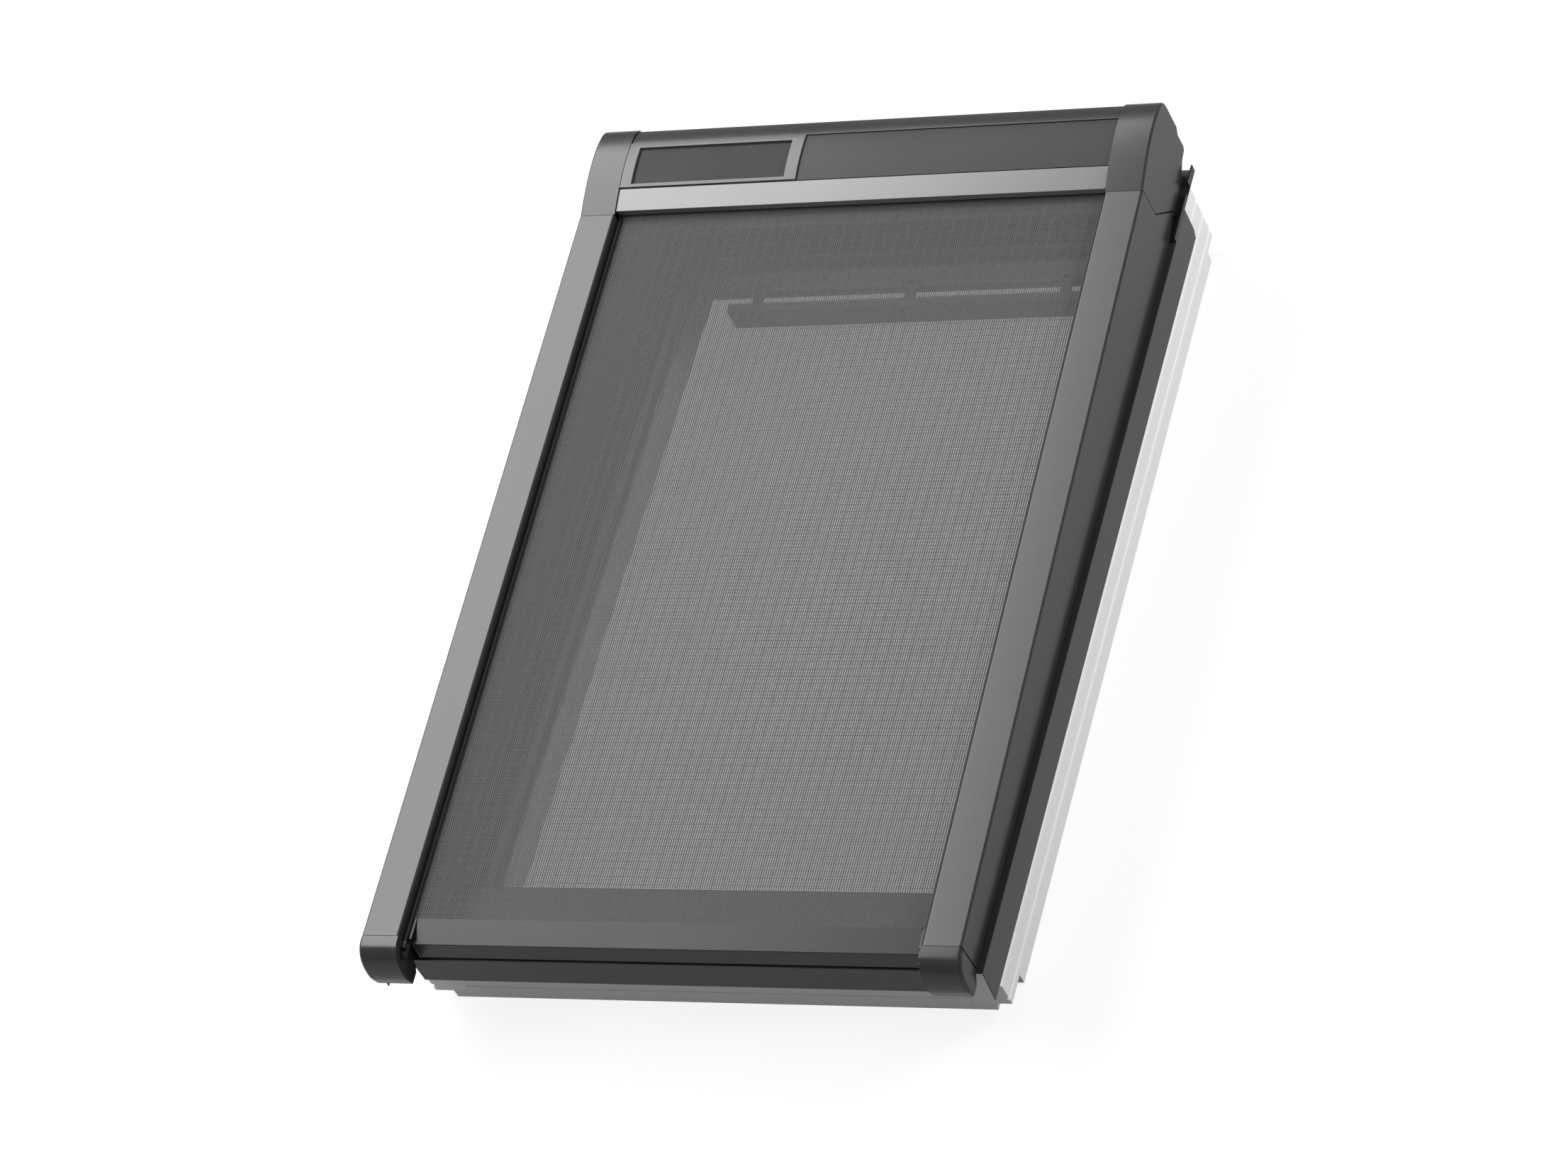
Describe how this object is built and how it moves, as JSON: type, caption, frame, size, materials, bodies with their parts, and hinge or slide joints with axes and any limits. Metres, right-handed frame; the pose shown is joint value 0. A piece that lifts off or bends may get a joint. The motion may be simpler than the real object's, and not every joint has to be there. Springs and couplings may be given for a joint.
{
  "type": "roof window blind",
  "caption": "Solar powered outside mesh blind with side guide rails and a curved head box, fitted on a pivoting glazed roof window.",
  "frame": {"origin": "under the middle of the whole part, on the plane of the window frame's underside", "axes": "+X to the right seen from outside, +Y up the roof slope towards the head box, +Z outward from the roof"},
  "size_m": [0.814, 1.266, 0.2741],
  "materials": {
    "white_frame": "smooth white coating over timber",
    "anthracite_metal": "fine matt powder coat",
    "dark_metal": "fine matt powder coat",
    "steel": "zinc plated",
    "black_plastic": "moulded, matt",
    "panel": "satin",
    "grey_metal": "satin anodised",
    "solar_cell": "smooth laminate",
    "circuit_board": "solder mask",
    "nylon": "moulded, matt",
    "screen_fabric": "coated open mesh",
    "rubber": "matt",
    "glass": "clear float glass"
  },
  "bodies": {
    "window_frame": {"frame_side_left": "white_frame", "frame_side_right": "white_frame", "frame_top": "white_frame", "frame_bottom": "white_frame", "frame_cover_side_left": "anthracite_metal", "frame_cover_side_right": "anthracite_metal", "frame_cover_top": "dark_metal", "frame_cover_bottom": "dark_metal", "pivot_plate_left": "steel", "pivot_plate_right": "steel", "top_bracket_left": "dark_metal", "top_bracket_right": "dark_metal", "head_cap_left": "anthracite_metal", "head_cap_right": "anthracite_metal", "head_shell": "anthracite_metal", "head_front_strip": "anthracite_metal", "blank_panel": "panel", "solar_bezel": "grey_metal", "solar_cell": "solar_cell", "battery_pack": "black_plastic", "control_board": "circuit_board", "bulkhead_left": "steel", "bulkhead_right": "steel", "motor": "black_plastic", "fabric_lead": "screen_fabric"},
    "roller": {"roller_tube": "steel", "roller_crown": "nylon", "roller_idler": "nylon", "fabric_roll": "screen_fabric"},
    "guide_rails": {"rail_left": "anthracite_metal", "rail_right": "anthracite_metal", "rail_guide_left": "black_plastic", "rail_guide_right": "black_plastic", "rail_hinge_left": "nylon", "rail_hinge_right": "nylon", "rail_foot_left": "anthracite_metal", "rail_foot_right": "anthracite_metal", "foot_pin_left": "nylon", "foot_pin_right": "nylon", "fabric_screen": "screen_fabric"},
    "bottom_bar": {"bar_profile": "anthracite_metal", "bar_end_left": "dark_metal", "bar_end_right": "dark_metal", "bar_seal": "rubber"},
    "sash": {"sash_side_left": "white_frame", "sash_side_right": "white_frame", "sash_top": "white_frame", "sash_bottom": "white_frame", "glass_outer": "glass", "glass_inner": "glass", "glass_spacer": "black_plastic", "sash_cover_side_left": "anthracite_metal", "sash_cover_side_right": "anthracite_metal", "sash_cover_top": "anthracite_metal", "sash_cover_bottom": "anthracite_metal", "front_cover": "dark_metal", "control_bar_hinges": "steel"},
    "ventilation_bar": {"control_bar": "grey_metal"}
  },
  "joints": [
    {"name": "sash_pivot", "type": "hinge", "parent": "window_frame", "child": "sash", "pos_m": [0, 0.02454, 0.08], "axis": [-1, 0, 0], "range_deg": [0, 45]},
    {"name": "rails_lift", "type": "hinge", "parent": "window_frame", "child": "guide_rails", "pos_m": [0, 0.48834, 0.2572], "axis": [-1, 0, 0], "range_deg": [0, 27]},
    {"name": "bar_slide", "type": "slide", "parent": "guide_rails", "child": "bottom_bar", "axis": [0, 0.9986, 0.0532], "range_m": [0, 1.058], "deforming": ["fabric_screen"]},
    {"name": "roller_spin", "type": "hinge", "parent": "window_frame", "child": "roller", "pos_m": [0, 0.57561, 0.21678], "axis": [1, 0, 0], "range_deg": [-2835, 0]},
    {"name": "ventilation_bar_turn", "type": "hinge", "parent": "sash", "child": "ventilation_bar", "pos_m": [0, 0.51694, 0.05], "axis": [1, 0, 0], "range_deg": [0, 30]}
  ],
  "couplings": [
    {"joint": "rails_lift", "follows": "sash_pivot", "ratio": 0.6},
    {"joint": "roller_spin", "follows": "bar_slide", "rad_per_m": -46.729}
  ]
}
